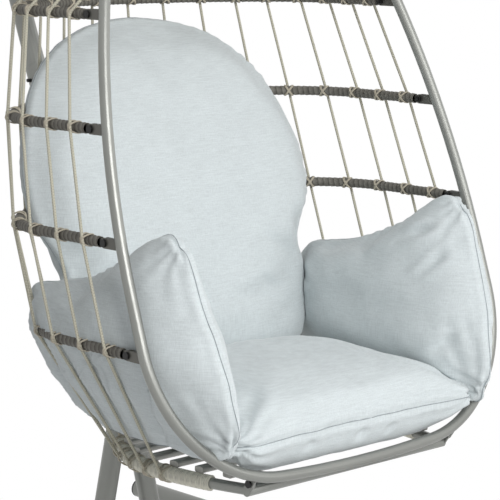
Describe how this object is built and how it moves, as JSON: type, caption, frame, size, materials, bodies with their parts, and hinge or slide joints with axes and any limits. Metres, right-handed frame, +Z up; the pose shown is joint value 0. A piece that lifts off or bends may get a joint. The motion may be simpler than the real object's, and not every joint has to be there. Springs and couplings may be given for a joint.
{
  "type": "hanging egg chair",
  "caption": "Hanging egg chair: a grey tube and rope basket with linen cushions, hung by a coil spring from a leaning floor stand.",
  "frame": {"origin": "Centre of the bounding box seen from above, on the floor the rubber feet stand on.", "axes": "+Z up. The chair opens towards -Y, the post stands behind it at +Y. +X is to the right of someone who faces the chair from the front."},
  "size_m": [0.9804, 1.46, 1.9979],
  "materials": {
    "frame_paint": "satin powder coat",
    "black_fixings": "black coated, satin",
    "slat_paint": "dark grey powder coat",
    "basket_tube": "satin grey lacquer",
    "rail_tape": "tube wound with taupe flat tape",
    "bright_steel": "zinc plated",
    "beige_rope": "braided olefin rope",
    "ring_winding": "flat strap, wound",
    "canopy_weave": "woven flat resin strip",
    "end_cap_plastic": "moulded, matt",
    "foot_rubber": "moulded",
    "linen": "light blue-grey melange weave"
  },
  "bodies": {
    "stand": {"base_runner_left": "frame_paint", "base_runner_right": "frame_paint", "base_cross_tube": "frame_paint", "base_bolts": "black_fixings", "runner_end_caps": "end_cap_plastic", "rubber_feet": "foot_rubber", "leg_left": "frame_paint", "leg_right": "frame_paint", "leg_bolts": "black_fixings", "post_fork": "frame_paint", "lower_post": "frame_paint", "post_sleeve": "frame_paint", "sleeve_bolts": "black_fixings", "upper_bow": "frame_paint", "bow_end_cap": "end_cap_plastic"},
    "link": {"hanging_link": "bright_steel", "link_sleeve_nut": "bright_steel"},
    "swivel_housing": {"swivel_eye": "bright_steel"},
    "spring_unit": {"swivel_pin": "bright_steel", "spring": "bright_steel"},
    "basket": {"spring_hook": "bright_steel", "crown_plate": "basket_tube", "front_hoop": "basket_tube", "canopy_rim": "basket_tube", "canopy_ribs": "basket_tube", "canopy_skin": "canopy_weave", "rail_1": "rail_tape", "rail_2": "rail_tape", "rail_3": "rail_tape", "rail_4": "rail_tape", "rail_yokes": "basket_tube", "rail_bolts": "black_fixings", "rail_nuts": "black_fixings", "seat_ring": "basket_tube", "seat_ring_wrap": "ring_winding", "seat_slats": "slat_paint", "hoop_seat_tabs": "basket_tube", "ring_seat_tabs": "basket_tube", "seat_tab_bolts": "black_fixings", "seat_tab_nuts": "black_fixings", "strands_left": "beige_rope", "strands_right": "beige_rope", "seat_cushion": "linen", "back_cushion": "linen", "arm_cushion_left": "linen", "arm_cushion_right": "linen"}
  },
  "joints": [
    {"name": "swing", "type": "hinge", "parent": "stand", "child": "link", "pos_m": [0, -0.095, 1.8845], "axis": [-1, 0, 0], "range_deg": [-3, 15]},
    {"name": "sway", "type": "hinge", "parent": "link", "child": "swivel_housing", "pos_m": [0, -0.095, 1.8385], "axis": [0, 1, 0], "range_deg": [-6, 6]},
    {"name": "swivel", "type": "hinge", "parent": "swivel_housing", "child": "spring_unit", "pos_m": [0, -0.095, 1.8], "axis": [0, 0, 1], "range_deg": [-25, 25]},
    {"name": "bounce", "type": "slide", "parent": "spring_unit", "child": "basket", "axis": [0, 0, 1], "range_m": [-0.04, 0], "stiffness_N_per_m": 22000, "springref_m": 0.01, "deforming": ["spring"]}
  ]
}
